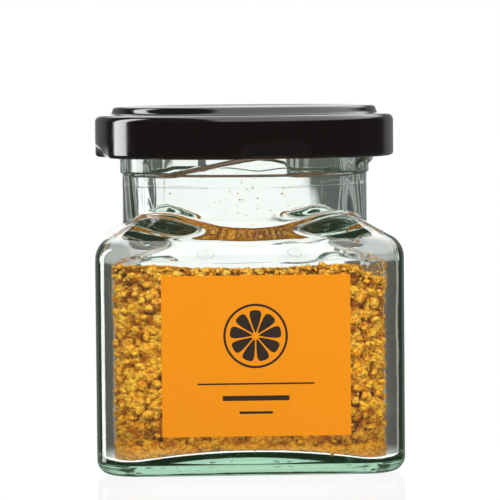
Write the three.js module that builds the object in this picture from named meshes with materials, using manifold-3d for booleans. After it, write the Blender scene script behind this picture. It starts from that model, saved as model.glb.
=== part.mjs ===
// A square clear-glass jar of dried orange peel granules, shut with a black twist-off lid.
// Millimetres, +Z up. The origin is the middle of the jar's underside, and the label faces -Y.

import * as THREE from "three";
import { mergeVertices } from "three/addons/utils/BufferGeometryUtils.js";
import Module from "manifold-3d";

// Jar body: a square of rounded corners, a filleted heel and a pyramid shoulder
const BODY_HALF_WIDTH = 28.1;
const BODY_CORNER_RADIUS = 7.8;
const HEEL_RADIUS = 2.7;
const SHOULDER_EDGE_Z = 41.7; // where the side planes and the shoulder planes would meet
const SHOULDER_RISE = 0.56; // millimetres up for each millimetre inwards
const SHOULDER_FILLET = 4.4;
const UNDERSIDE_DISH_RADIUS = 20.5;
const UNDERSIDE_DISH_DEPTH = 1.3;
const BODY_INSIDE_NECK = 10.6; // how far in the pyramid's planes carry on, hidden by the neck

// Inside of the jar
const WALL = 2.8;
const INNER_HALF_WIDTH = BODY_HALF_WIDTH - WALL;
const INNER_CORNER_RADIUS = 6.2;
const FLOOR_CENTRE_Z = 6.4;
const FLOOR_FALL = 0.003; // the floor sinks with the square of the distance from its middle
const FLOOR_RINGS = [0.35, 0.7]; // shares of the way out from its middle
const INNER_HEEL_RADIUS = 1.6;
const INNER_SHOULDER_Z = 37.4; // where the inside starts to lean in towards the neck
const INNER_SHOULDER_HEIGHT = 7.6;
const INNER_SHOULDER_FIRST = 4.4; // how far the curve's two ends carry on upright
const INNER_SHOULDER_LAST = 3.3;

// Neck, bead and the four slanted threads
const NECK_RADIUS = 22.95;
const NECK_INNER_RADIUS = 20.2;
const FINISH_RADIUS = 23.35;
const FINISH_STEP = 0.25;
const BEAD_RADIUS = 24.25;
const BEAD_Z = 53.9;
const MOUTH_Z = 64.1;
const MOUTH_ROUND = 0.9;
const THREADS = 4;
const THREAD_START = 18; // degrees to the right of the front
const THREAD_LEVEL_ARC = 36; // degrees it runs level on the bead before it climbs
const THREAD_ARC = 104;
const THREAD_CLIMB = 0.082; // millimetres a degree
const THREAD_HEIGHT = 4.2;
const THREAD_SLOPE = 0.6; // how much its two edges slope between neck and crest
const THREAD_ROOT_DEPTH = 1; // how far its root reaches into the neck

// Lid: thin steel with a raised panel, a curled lower edge and four pressed lugs
const LID_RADIUS = 28;
const LID_TOP_Z = 66.6;
const LID_BOTTOM_Z = 57.1;
const LID_WALL = 0.4;
const LID_SHOULDER_Z = 65.0;
const LID_SHOULDER_ROUND = 1.3;
const PANEL_RADIUS = 24.4;
const PANEL_DISH = 0.25;
const CURL_WIDTH = 1.4;
const LUGS = 4;
const LUG_AZIMUTH = 10; // degrees to the right of the front
const LUG_HALF_ARC = 15;
const LUG_DEPTH = 2.0;
const LUG_TOP_Z = 59.7;

// Label: a rectangle of paper on the front face, a little right of its middle
const LABEL_WIDTH = 34.0;
const LABEL_HEIGHT = 29.0;
const LABEL_X = 0.7;
const LABEL_Z = 21.9;
const LABEL_THICKNESS = 0.15;
const LABEL_GAP = 0.05;

// Peel granules: a heap that fills the jar up to its shoulder
const PEEL_GAP = 0.3;
const PEEL_TOP_Z = 37.6;
const GRAIN_SIZE = 3.3;
const GRAIN_RELIEF = 0.9;
const HEAP_EDGE_DROP = 0.5; // how far its rim rounds down beside the glass
const HEEL_LIFT = 0.5;
const PEEL_SEED = 17;

const deg = THREE.MathUtils.degToRad;
const lerp = THREE.MathUtils.lerp;
const FRONT = -Math.PI / 2;

// Points of a square with rounded corners, anticlockwise from +X, with the same count for any size
function roundedSquare(halfWidth, radius, { corner = 6, side = 4 } = {}) {
  const centre = halfWidth - radius;
  const points = [];
  for (let quarter = 0; quarter < 4; quarter++) {
    const turn = (quarter * Math.PI) / 2;
    const place = (x, y) =>
      points.push(new THREE.Vector2(x, y).rotateAround(new THREE.Vector2(), turn));
    for (let i = 0; i < side; i++) place(halfWidth, centre * ((2 * i) / side - 1));
    for (let i = 0; i < corner; i++) {
      const a = ((i / corner) * Math.PI) / 2;
      place(centre + radius * Math.cos(a), centre + radius * Math.sin(a));
    }
  }
  return points;
}

// The same ring of points drawn in towards a circle, by share 0 to 1
function towardsCircle(ring, radius, share) {
  return ring.map((p) => p.clone().lerp(p.clone().setLength(radius), share));
}

// One closed body through rings of equal count, each ring a list of Vector3, lowest first
function loft(rings) {
  const count = rings[0].length;
  const positions = rings.flat().flatMap((p) => [p.x, p.y, p.z]);
  const index = [];
  for (let r = 0; r + 1 < rings.length; r++) {
    for (let i = 0; i < count; i++) {
      const a = r * count + i;
      const b = r * count + ((i + 1) % count);
      index.push(a, b, b + count, a, b + count, a + count);
    }
  }
  const cap = (r, flip) => {
    const middle = rings[r].reduce((s, p) => s.add(p), new THREE.Vector3());
    middle.divideScalar(count);
    const m = positions.length / 3;
    positions.push(middle.x, middle.y, middle.z);
    for (let i = 0; i < count; i++) {
      const a = r * count + i;
      const b = r * count + ((i + 1) % count);
      index.push(...(flip ? [m, b, a] : [m, a, b]));
    }
  };
  cap(0, true);
  cap(rings.length - 1, false);
  const geometry = new THREE.BufferGeometry();
  geometry.setAttribute("position", new THREE.Float32BufferAttribute(positions, 3));
  geometry.setIndex(index);
  return geometry;
}

const level = (ring, z) => ring.map((p) => new THREE.Vector3(p.x, p.y, z));

// A turned body about +Z from a list of [radius, height], from the axis out and back to it
function turned(profile, segments) {
  const points = profile.map(([r, z]) => new THREE.Vector2(r, z));
  return new THREE.LatheGeometry(points, segments).rotateX(Math.PI / 2);
}

// Points of an arc from one angle to another, in radians
function arc(x, y, radius, from, to, steps) {
  return Array.from({ length: steps + 1 }, (_, i) => {
    const a = lerp(from, to, i / steps);
    return [x + radius * Math.cos(a), y + radius * Math.sin(a)];
  });
}

const manifold = await Module();
manifold.setup();

function solid(geometry) {
  const bare = geometry.clone();
  bare.deleteAttribute("normal");
  bare.deleteAttribute("uv");
  const merged = mergeVertices(bare, 1e-4);
  return new manifold.Manifold(
    new manifold.Mesh({
      numProp: 3,
      vertProperties: new Float32Array(merged.attributes.position.array),
      triVerts: new Uint32Array(merged.index.array),
    }),
  );
}

function geometryOf(body) {
  const mesh = body.getMesh();
  const geometry = new THREE.BufferGeometry();
  geometry.setAttribute("position", new THREE.BufferAttribute(mesh.vertProperties, 3));
  geometry.setIndex(new THREE.BufferAttribute(mesh.triVerts, 1));
  geometry.computeVertexNormals();
  return geometry;
}

function named(name, geometry, colour, roughness, metalness = 0, extra = {}) {
  const look = new THREE.MeshStandardMaterial({ color: colour, roughness, metalness, ...extra });
  const mesh = new THREE.Mesh(geometry, look);
  mesh.name = name;
  return mesh;
}

// Outer body of the jar: heel, sides, fillet and pyramid, up to inside the neck
function jarBody() {
  const ring = (inset, z) => {
    const half = BODY_HALF_WIDTH - inset;
    return level(roundedSquare(half, Math.min(BODY_CORNER_RADIUS, half - 1)), z);
  };
  const rings = [];
  for (const [x, z] of arc(0, HEEL_RADIUS, HEEL_RADIUS, -Math.PI / 2, 0, 5))
    rings.push(ring(HEEL_RADIUS - x, z));
  const bend = Math.PI / 2 - Math.atan(SHOULDER_RISE);
  const start = SHOULDER_EDGE_Z - SHOULDER_FILLET * Math.tan(bend / 2);
  for (const [x, z] of arc(0, start, SHOULDER_FILLET, 0, bend, 6))
    rings.push(ring(SHOULDER_FILLET - x, z));
  rings.push(ring(BODY_INSIDE_NECK, SHOULDER_EDGE_Z + SHOULDER_RISE * BODY_INSIDE_NECK));
  return solid(loft(rings));
}

function jarNeck() {
  return solid(
    turned(
      [
        [0, SHOULDER_EDGE_Z],
        [NECK_RADIUS, SHOULDER_EDGE_Z],
        [NECK_RADIUS, BEAD_Z],
        [FINISH_RADIUS, BEAD_Z + FINISH_STEP],
        ...arc(FINISH_RADIUS - MOUTH_ROUND, MOUTH_Z - MOUTH_ROUND, MOUTH_ROUND, 0, Math.PI / 2, 3),
        [0, MOUTH_Z],
      ],
      56,
    ),
  );
}

// One thread: level on the bead at its blunt start, then climbing to the right
function jarThread(startAngle) {
  const sections = [];
  const steps = 13;
  for (let i = 0; i <= steps; i++) {
    const along = (THREAD_ARC * i) / steps;
    const low = BEAD_Z + Math.max(0, along - THREAD_LEVEL_ARC) * THREAD_CLIMB;
    const high = BEAD_Z + THREAD_HEIGHT + (along * THREAD_CLIMB) / 2;
    const a = startAngle + deg(along);
    const at = (r, z) => new THREE.Vector3(r * Math.cos(a), r * Math.sin(a), z);
    sections.push([
      at(NECK_RADIUS - THREAD_ROOT_DEPTH, low - THREAD_SLOPE),
      at(BEAD_RADIUS, low + THREAD_SLOPE),
      at(BEAD_RADIUS, high - THREAD_SLOPE),
      at(NECK_RADIUS - THREAD_ROOT_DEPTH, high),
    ]);
  }
  return solid(loft(sections.reverse()));
}

function floorHeight(x, y) {
  return FLOOR_CENTRE_Z - FLOOR_FALL * (x * x + y * y);
}

// Half-width and corner radius of the inside at an inset from its wall, as a ring of points
function insideRing(inset, options) {
  const half = INNER_HALF_WIDTH - inset;
  return roundedSquare(half, Math.min(INNER_CORNER_RADIUS, half - 1), options);
}

// Share of the way in to the neck, and the height, at a step 0 to 1 up the inner shoulder's S-curve
function innerShoulder(step) {
  const rest = 1 - step;
  const inward = step * step * (3 - 2 * step);
  const rise =
    3 * rest * rest * step * INNER_SHOULDER_FIRST +
    3 * rest * step * step * (INNER_SHOULDER_HEIGHT - INNER_SHOULDER_LAST) +
    step ** 3 * INNER_SHOULDER_HEIGHT;
  return [inward, INNER_SHOULDER_Z + rise];
}

// The empty inside: domed floor, straight walls, the S-curve of the shoulder, then the neck
function jarInside() {
  const rings = [];
  for (const share of FLOOR_RINGS) {
    const ring = insideRing((1 - share) * INNER_HALF_WIDTH);
    rings.push(ring.map((p) => new THREE.Vector3(p.x, p.y, floorHeight(p.x, p.y))));
  }
  for (const [x, z] of arc(0, 0, INNER_HEEL_RADIUS, -Math.PI / 2, 0, 3)) {
    const ring = insideRing(INNER_HEEL_RADIUS - x);
    const lift = z + INNER_HEEL_RADIUS;
    rings.push(ring.map((p) => new THREE.Vector3(p.x, p.y, floorHeight(p.x, p.y) + lift)));
  }
  const wall = insideRing(0);
  const steps = 9;
  for (let i = 0; i <= steps; i++) {
    const [inward, z] = innerShoulder(i / steps);
    rings.push(level(towardsCircle(wall, NECK_INNER_RADIUS, inward), z));
  }
  rings.push(level(towardsCircle(wall, NECK_INNER_RADIUS, 1), MOUTH_Z + 1));
  return solid(loft(rings));
}

function glassJar() {
  let body = jarBody().add(jarNeck());
  for (let i = 0; i < THREADS; i++) {
    const turn = FRONT + deg(THREAD_START + (360 / THREADS) * i);
    body = body.add(jarThread(turn));
  }
  const sphere = (UNDERSIDE_DISH_RADIUS ** 2 + UNDERSIDE_DISH_DEPTH ** 2) / (2 * UNDERSIDE_DISH_DEPTH);
  const edge = Math.asin(UNDERSIDE_DISH_RADIUS / sphere);
  const dishProfile = [
    [0, -1],
    [UNDERSIDE_DISH_RADIUS, -1],
    ...arc(0, UNDERSIDE_DISH_DEPTH - sphere, sphere, Math.PI / 2 - edge, Math.PI / 2, 5),
  ];
  const dish = solid(turned(dishProfile, 48));
  const glass = body.subtract(dish).subtract(jarInside());
  const look = { transparent: true, opacity: 0.35 };
  return named("glass_jar", geometryOf(glass), 0xdfeee6, 0.05, 0, look);
}

// How far a lug presses the lid's lower edge inwards, 0 to 1, at an angle about +Z
function lugShare(angle) {
  const pitch = (Math.PI * 2) / LUGS;
  const from = angle - FRONT - deg(LUG_AZIMUTH);
  const off = Math.abs(from - pitch * Math.round(from / pitch)) / deg(LUG_HALF_ARC);
  return off >= 1 ? 0 : 0.5 + 0.5 * Math.cos(Math.PI * off ** 2);
}

// The lid's section as [radius, height], outside from the middle to the curl, then back inside
function lidProfile() {
  const shoulderMiddle = LID_RADIUS - LID_SHOULDER_ROUND;
  const curl = CURL_WIDTH / 2;
  const inner = LID_RADIUS - LID_WALL;
  const linerZ = MOUTH_Z + 0.3;
  return [
    [0, LID_TOP_Z - PANEL_DISH],
    [PANEL_RADIUS - 3.2, LID_TOP_Z - PANEL_DISH],
    [PANEL_RADIUS - 1.9, LID_TOP_Z],
    [PANEL_RADIUS - 0.3, LID_TOP_Z - 0.05],
    [PANEL_RADIUS + 0.2, LID_TOP_Z - 0.45],
    [PANEL_RADIUS + 0.8, LID_SHOULDER_Z + 0.15],
    ...arc(
      shoulderMiddle,
      LID_SHOULDER_Z - LID_SHOULDER_ROUND,
      LID_SHOULDER_ROUND,
      Math.PI / 2,
      0,
      3,
    ),
    [LID_RADIUS, LUG_TOP_Z],
    ...arc(LID_RADIUS - curl, LID_BOTTOM_Z + curl, curl, 0, -Math.PI, 4),
    [inner - 0.2, LID_BOTTOM_Z + CURL_WIDTH + 0.6],
    [inner, LUG_TOP_Z + 0.4],
    [inner, LID_SHOULDER_Z - LID_SHOULDER_ROUND],
    [shoulderMiddle, linerZ],
    [NECK_INNER_RADIUS, linerZ],
    [NECK_INNER_RADIUS - 0.5, LID_TOP_Z - PANEL_DISH - LID_WALL],
    [0, LID_TOP_Z - PANEL_DISH - LID_WALL],
  ];
}

function lid() {
  const segments = 60;
  const geometry = turned(lidProfile().reverse(), segments);
  const position = geometry.attributes.position;
  const point = new THREE.Vector3();
  for (let i = 0; i < position.count; i++) {
    point.fromBufferAttribute(position, i);
    const radius = Math.hypot(point.x, point.y);
    const depth = THREE.MathUtils.clamp((LUG_TOP_Z - point.z) / (LUG_TOP_Z - LID_BOTTOM_Z), 0, 1);
    const pressed = LUG_DEPTH * depth * lugShare(Math.atan2(point.y, point.x));
    if (radius > 0) point.multiplyScalar((radius - pressed) / radius);
    position.setXY(i, point.x, point.y);
  }
  return named("lid", geometryOf(solid(geometry)), 0x0d0b0a, 0.18, 0.2);
}

function frontLabel() {
  const shape = new THREE.Shape();
  const w = LABEL_WIDTH / 2;
  const h = LABEL_HEIGHT / 2;
  shape.moveTo(-w, -h).lineTo(w, -h).lineTo(w, h).lineTo(-w, h).closePath();
  const geometry = new THREE.ExtrudeGeometry(shape, { depth: LABEL_THICKNESS, bevelEnabled: false });
  geometry.rotateX(Math.PI / 2);
  const mesh = named("front_label", geometry, 0xf7981d, 0.6);
  mesh.position.set(LABEL_X, -(BODY_HALF_WIDTH + LABEL_GAP), LABEL_Z);
  return mesh;
}

// A repeatable number from 0 to 1 for each whole-numbered cell of space
function cellNumber(x, y, z, salt) {
  let h = Math.imul(x, 374761393) ^ Math.imul(y, 668265263) ^ Math.imul(z, 2147483647);
  h = Math.imul(h ^ (salt * 974634777 + PEEL_SEED), 1274126177);
  h = Math.imul(h ^ (h >>> 15), 2246822519);
  return ((h ^ (h >>> 13)) >>> 0) / 4294967296;
}

// Height of the grains' rounded tops, 0 to 1, from the nearest of scattered grain centres
function grainRelief(point) {
  const p = point.clone().divideScalar(GRAIN_SIZE);
  const cell = p.clone().floor();
  let nearest = 9;
  for (let x = -1; x <= 1; x++)
    for (let y = -1; y <= 1; y++)
      for (let z = -1; z <= 1; z++) {
        const c = [cell.x + x, cell.y + y, cell.z + z];
        const centre = new THREE.Vector3(
          c[0] + cellNumber(...c, 1),
          c[1] + cellNumber(...c, 2),
          c[2] + cellNumber(...c, 3),
        );
        nearest = Math.min(nearest, p.distanceToSquared(centre));
      }
  return Math.max(0, 1 - nearest * 1.4);
}

// The heap's top: high at the left, a hump right of the middle, falling to the right-hand corners
function heapTop(x, y) {
  const lean = -0.028 * x - 0.01 * y;
  const hump = 0.9 * Math.exp(-(((x - 13) / 7) ** 2) - ((y + 20) / 16) ** 2);
  const corner = -1.9 * THREE.MathUtils.smoothstep(x, 17, 25);
  return PEEL_TOP_Z + lean + hump + corner;
}

function peelGranules() {
  const options = { corner: 9, side: 17 };
  const inset = PEEL_GAP;
  const wall = insideRing(inset, options);
  const rings = [];
  const add = (ring, height) =>
    rings.push(ring.map((p) => new THREE.Vector3(p.x, p.y, height(p))));
  for (const share of [0.3, 0.65, 0.9])
    add(insideRing((1 - share) * INNER_HALF_WIDTH, options), (p) => floorHeight(p.x, p.y) + PEEL_GAP);
  const heel = insideRing(inset + HEEL_LIFT, options);
  add(heel, (p) => floorHeight(p.x, p.y) + PEEL_GAP);
  const rows = 17;
  for (let row = 0; row <= rows; row++) {
    const share = row / rows;
    add(wall, (p) => {
      const low = floorHeight(p.x, p.y) + INNER_HEEL_RADIUS + HEEL_LIFT;
      const rim = Math.min(heapTop(p.x, p.y) - HEAP_EDGE_DROP, INNER_SHOULDER_Z);
      return lerp(low, rim, share);
    });
  }
  const topRings = 12;
  for (let i = 1; i < topRings; i++) {
    const share = 1 - (i / topRings) * 0.97;
    add(wall.map((p) => p.clone().multiplyScalar(share)), (p) => heapTop(p.x, p.y));
  }
  const firstRow = 4;
  rings.forEach((ring, r) =>
    ring.forEach((p) => {
      const relief = grainRelief(p);
      if (r >= firstRow && r <= firstRow + rows) {
        const out = new THREE.Vector2(p.x, p.y).setLength(GRAIN_RELIEF * (relief - 1));
        p.x += out.x;
        p.y += out.y;
      } else if (r > firstRow + rows) {
        p.z += GRAIN_RELIEF * 1.3 * (relief - 0.5);
      }
    }),
  );
  return named("peel_granules", geometryOf(solid(loft(rings))), 0xd9952b, 0.85);
}

const jarOfPeel = new THREE.Group();
jarOfPeel.add(glassJar(), lid(), frontLabel(), peelGranules());

export default jarOfPeel;
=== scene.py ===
"""A square jar of clear glass, filled with dried orange peel, under a black twist-off lid."""

import math
import random

import bmesh
import bpy
import numpy as np
from mathutils import Matrix, Vector
from mathutils.kdtree import KDTree


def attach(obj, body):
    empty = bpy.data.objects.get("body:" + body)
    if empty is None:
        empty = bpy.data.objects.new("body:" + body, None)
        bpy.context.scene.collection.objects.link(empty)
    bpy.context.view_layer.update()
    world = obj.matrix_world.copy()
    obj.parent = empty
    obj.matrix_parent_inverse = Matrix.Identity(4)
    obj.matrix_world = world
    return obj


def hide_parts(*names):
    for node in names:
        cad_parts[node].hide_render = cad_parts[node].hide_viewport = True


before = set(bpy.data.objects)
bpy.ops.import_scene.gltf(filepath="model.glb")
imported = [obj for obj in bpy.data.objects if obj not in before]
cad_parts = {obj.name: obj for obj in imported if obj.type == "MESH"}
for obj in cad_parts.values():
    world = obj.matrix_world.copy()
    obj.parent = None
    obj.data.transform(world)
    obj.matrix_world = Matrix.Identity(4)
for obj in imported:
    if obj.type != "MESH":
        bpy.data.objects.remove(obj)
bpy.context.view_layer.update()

# Sizes in millimetres. The origin is the middle of the underside, and the label faces -Y
MM = 0.001
BODY_HALF = 28.1
BODY_CORNER = 7.8
BODY_CORNER_LEAST = 0.5
HEEL = 2.7
SHOULDER_EDGE = 41.7
SHOULDER_RISE = 0.56
SHOULDER_FILLET = 4.4
UNDERSIDE_DISH_RADIUS = 20.5
UNDERSIDE_DISH_DEPTH = 1.3
WALL = 2.8
INNER_CORNER = 6.2
INNER_HEEL = 0.9
FLOOR_CENTRE = 6.4
FLOOR_FALL = 0.0036
# The inside of the shoulder, uneven as in pressed glass, at the front, the back and the corners:
# where it starts, how high it goes, and how far its two ends carry on upright
FRONT_SHOULDER = (37.0, 8.2, 4.2, 3.2)
BACK_SHOULDER = (38.9, 6.9, 4.7, 3.4)
CORNER_SHOULDER = (38.0, 6.0, 4.6, 2.0)
# Where the front's shape passes into the back's, and the sides' into the corners', as sines
FRONT_TO_BACK = (-0.87, -0.55)
SIDE_TO_CORNER = (0.6, 0.95)
RIPPLE = 0.08
NECK_STREAKS = 0.07

NECK_RADIUS = 22.95
NECK_INNER_RADIUS = 20.2
FINISH_RADIUS = 23.35
BEAD_RADIUS = 24.25
BEAD_HEIGHT = 53.9
NECK_TO_FINISH = 0.3
NECK_FILLET = 0.7
THREAD_FILLET = 0.25
SEAM_DEPTH = 0.05
SEAM_WIDTH = 0.14
SEAM_HEIGHT = 52.0
MOUTH = 64.1
MOUTH_ROUND = 0.9
MOUTH_INNER_ROUND = 0.6

# Rings up the outside of the glass from its heel, and down the inside from its mouth: where each
# run of them ends, and its count with the ring that it starts from
OUTSIDE_RUNS = (
    (38.5, 16),
    (43.5, 22),
    (48.5, 26),
    (51.6, 5),
    (52.4, 9),
    (53.2, 3),
    (58.0, 34),
    (MOUTH - MOUTH_ROUND, 12),
)
INSIDE_RUNS = ((54, 8), (53, 2), (46, 12), (36.5, 48), (FLOOR_CENTRE - 1.0, 22))
GLASS_COLUMNS = 336
GLASS_CROWDING = 0.5

# The threads: where the first starts, how far it lies level and how far it goes, in degrees, then
# its climb for each degree
THREAD_START = 18.0
THREAD_LEVEL = 36.0
THREAD_REACH = 104.0
THREAD_CLIMB = 0.082
THREAD_HEIGHT = 4.2
THREAD_ROOT = NECK_RADIUS - 1
THREAD_UNDER_SLOPE = 2
THREAD_OVER_SLOPE = 3.8
THREAD_FOOT = 0.6
THREAD_FADE_IN = (-6.0, 5.0)
THREAD_FADE_OUT = (-8.0, 8.0)

LID_RADIUS = 28.0
LID_TOP = 66.6
LID_BOTTOM = 57.1
LID_WALL = 0.4
LID_EDGE = 65.0
LID_EDGE_ROUND = 1.3
LID_PANEL = 24.4
LID_CURL = 0.7
LID_SHEET_DEPTH = 0.9
LID_INSIDE_MIDDLE = 61.5
LINER_GAP = 0.12
LUG_DEPTH = 2.0
LUG_TOP = 59.7
LUG_AZIMUTH = 10.0
LUG_HALF_ARC = 15.0
LID_COLUMNS = 240

LABEL_WIDTH = 34.0
LABEL_HEIGHT = 29.0
LABEL_X = 0.7
LABEL_Z = 21.9
LABEL_THICKNESS = 0.17
LABEL_EDGE_ROUND = 0.04
LABEL_MIDDLE_DEPTH = 28.215
PRINT_DEPTH = 28.29
PRINT_THICKNESS = 0.02
PRINT_X = LABEL_X - 0.1
SLICE_Z = LABEL_Z + 3.6
SLICE_RADIUS = 5.6
RIND_WIDTH = 0.42
SLICE_SEGMENTS = 9
SEGMENT_HALF_ANGLE = 16.5
SEGMENT_MIDDLE = 2.65
SEGMENT_HALF_LENGTH = 2.0
FIRST_SEGMENT = 10
# Bars under the slice: distance under the middle of the label, width, thickness
BARS = ((5.0, 21.0, 0.3), (7.6, 12.0, 0.9), (10.2, 6.0, 0.45))

PEEL_TOP = 37.6
HEAP_TILT = (0.028, 0.01)
HEAP_EDGE_DROP = 0.1
HEAP_ROUGHNESS = 0.5
# The mound at the right front and the slump at the far right
MOUND_HEIGHT = 0.9
MOUND_X = 13
MOUND_Y = -20
MOUND_WIDTH = 7
MOUND_LENGTH = 16
SLUMP_DEPTH = 1.9
SLUMP_START = 17
SLUMP_END = 25
# The grains' distance from the glass, and the depths between which painted shade darkens the heap
PEEL_GAP = 0.03
SHADE_PAINT_DEPTHS = (0.35, 1.5)
CORE_DEPTH = 1.9
FLAT_FLOOR = (4.6, 5.8)
HEAP_COLUMNS = 500
HEAP_CROWDING = 0.2
HEAP_SEED = 41
LUMP_SPACING = 1.6
LUMP_SIZES = (0.95, 1.75)
LUMP_MOST = 1.35
LUMP_SHARE = 0.95
KNOB_SPACING = 0.72
KNOB_SIZES = (0.42, 0.68)
KNOB_SHARE = 0.55
GRAIN_SQUEEZE = ((0.75, 1.25), (0.75, 1.25), (0.8, 1.1))
GRAIN_SPACING = 2.0
GRAIN_LOWEST = 3.0
GRAIN_SMALLEST = 0.7
GRAIN_SIZE_RANGE = 0.7
# How far in grains and crumbs lie: as shares of a grain's size, and in millimetres
GRAIN_DEPTHS = (-1.02, -0.88)
CRUMB_DEPTHS = (0.2, 1.2)
CRUMB_SPACING = 1.05
CRUMB_SIZES = (0.3, 0.62)
DUST_SMALLEST = 0.1
# The balls that make one grain: the least reach, their distance from its middle, and their size
GRAIN_LEAST = 0.55
BALL_DISTANCES = (0.3, 0.55)
BALL_SIZES = (0.42, 0.6)
GRAIN_SEED = 77
DUST_SEED = 5

# Patches of dust: degrees right of the front and their spread, height and its spread, count, size
DUST = (
    (5.0, 13.0, 49.0, 1.6, 70, 0.3),
    (47.0, 4.0, 38.5, 2.6, 240, 0.3),
    (-46.0, 3.0, 40.0, 1.2, 90, 0.25),
    (180.0, 60.0, 40.0, 1.0, 120, 0.25),
)

# Brightness of the room at each angle away from straight behind the jar, in degrees
MIRRORED_LIGHT = ((0, 1.2), (8, 1.2), (12, 0.3), (30, 0.3), (42, 0.3), (50, 0.05), (180, 0.02))
THROUGH_LIGHT = (
    (0, 1.15),
    (7, 1.15),
    (9, 0.12),
    (18, 0.1),
    (22, 0.5),
    (30, 0.4),
    (38, 0.08),
    (180, 0.16),
)
SOFT_LIGHT = 0.32
# The tall light: where it fades in, by degrees to the right and to the left of straight behind,
# then by height over and under level
STRIP_LIGHT = 9.0
STRIP_LEFT = (-77.0, -74.0)
STRIP_RIGHT = (57.0, 61.0)
STRIP_FOOT = (-0.2, -0.12)
STRIP_HEAD = (-0.75, -0.6)
# The light overhead: where it fades in, by height and from left to right
CEILING_LIGHT = 3.0
CEILING_HEIGHT = (0.3, 0.5)
CEILING_LEFT = (-0.45, -0.3)
# Brightness overhead and underfoot, in mirrored light and in light that comes through
MIRRORED_ENDS = (0.1, 0.13)
THROUGH_ENDS = (0.5, 1.3)
# The heights over and under level where those two fade in
OVERHEAD = (0.2, 0.5)
UNDERFOOT = (0.12, 0.3)

WHITE = (1, 1, 1, 1)
FLOOR_HALF_WIDTH = 3
FLOOR_GREY = (0.7, 0.7, 0.7, 1)
FLOOR_SHEEN = 0.08
FLOOR_SHEEN_ROUGHNESS = 0.12

# Lamps: name, place in metres, width, power in watts
LAMPS = (
    ("key_light", (-0.6, -0.75, 0.8), 0.3, 14.0),
    ("fill_light", (0.75, -0.7, 0.45), 0.4, 9.0),
    ("back_light", (0.3, 0.9, 0.7), 0.5, 8.0),
)
LAMP_TARGET = (0, 0, 0.03)

# Azimuth, pitch and roll in degrees, then metres, and millimetres for the film and the lens
CAMERA_ANGLES = (-2.445, 3.19, -0.499)
CAMERA_DISTANCE = 0.600
CAMERA_HEIGHT = 0.07283
CAMERA_SIDESTEP = 0.000939
CAMERA_NEAREST = 0.01
CAMERA_FILM = 36
CAMERA_LENS = 230.06

GLASS_INDEX = 1.52
ENAMEL_INDEX = 1.5
# The glass: its tint and that for each metre, its faint painted green glow, and what it lets through
# to shadows
GLASS_TINT = (0.36, 0.68, 0.48, 1)
GLASS_TINT_DENSITY = 29.0
GLASS_PAINTED_GLOW = (0.6, 1.0, 0.62, 1)
GLASS_PAINTED_GLOW_STRENGTH = 0.0055
GLASS_SHADE = (0.98, 0.98, 0.97, 1)
ENAMEL_BLACK = (0.0052, 0.0038, 0.0034, 1)
LACQUER_BROWN = (0.42, 0.2, 0.04, 1)
PAPER_ORANGE = (0.535, 0.178, 0.0059, 1)
PAPER_ORANGE_LIGHT = (0.555, 0.187, 0.0074, 1)
INK_DARK = (0.016, 0.011, 0.008, 1)
INK_LIGHT = (0.03, 0.02, 0.014, 1)
PEEL_AMBER = (0.95, 0.37, 0.011, 1)
PEEL_YELLOW = (1.0, 0.53, 0.035, 1)
PEEL_ORANGE = (0.9, 0.27, 0.008, 1)
# Painted highlight for the tops of the peel's knobs
PEEL_PAINTED_HIGHLIGHT = (1.0, 0.72, 0.2, 1)
# Painted shade for the creases between the peel's knobs
PEEL_CREASE_SHADE = (0.45, 0.1, 0.003, 1)
PEEL_LOW = (0.38, 0.12, 0.002, 1)
# Painted shade for the peel deep in the heap
PEEL_PAINTED_SHADE = (0.34, 0.085, 0.003, 1)
# Heights in metres between which the painted highlight on the peel grows stronger upwards, and the
# peel turns darker downwards
HIGHLIGHT_HEIGHTS = (0.02, 0.038)
LOW_HEIGHTS = (0.014, 0.005)

# Waves a metre of the patterns on each surface
GLASS_WAVES = 170.0
ENAMEL_STIPPLE = 900.0
ENAMEL_HAZE = 120.0
PAPER_FIBRES = 2600.0
PAPER_PATCHES = 140.0
INK_SPECKLE = 3000.0
PEEL_STIR = 900.0
PEEL_KNOBS = 1500.0
PEEL_MOTTLE = 420.0
PEEL_ROUGHNESS = 3600.0
PEEL_PATCHES = 260.0
# How deep each pattern goes, in metres
GLASS_WAVE_DEPTH = 0.0002
ENAMEL_STIPPLE_DEPTH = 0.00003
PAPER_FIBRE_DEPTH = 0.00003
PEEL_KNOB_DEPTH = 0.00032
PEEL_ROUGHNESS_DEPTH = 0.00012


# Shaping


def spread_angles(count, crowding):
    """Angles of the columns round a piece, closer together at its four corners."""
    even = np.arange(count) * (2 * math.pi / count)
    return even + crowding / 4 * np.sin(4 * even)


def square_reach(angles, half, corner):
    """Distance from the axis to a square with round corners, at each angle."""
    quarter = math.pi / 2
    off = np.abs((angles + quarter / 2) % quarter - quarter / 2)
    flat = half / np.cos(off)
    middle = half - corner
    along = middle * (np.cos(off) + np.sin(off))
    rounded = along + np.sqrt(np.maximum(along**2 - 2 * middle**2 + corner**2, 0))
    return np.where(np.tan(off) * half <= middle, flat, rounded)


def soft_max(a, b, width):
    """The greater of two values, rounded over where they are nearly the same."""
    near = np.maximum(width - np.abs(a - b), 0) / width
    return np.maximum(a, b) + near**2 * width / 4


def smooth_step(value, start, end):
    """0 before the start, 1 after the end, and smooth between them."""
    share = np.clip((value - start) / (end - start), 0, 1)
    return share * share * (3 - 2 * share)


def ring(angles, radius, height):
    """One closed ring of points, in millimetres."""
    radius = np.broadcast_to(radius, angles.shape)
    height = np.broadcast_to(height, angles.shape)
    return np.stack([radius * np.cos(angles), radius * np.sin(angles), height], -1)


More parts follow.
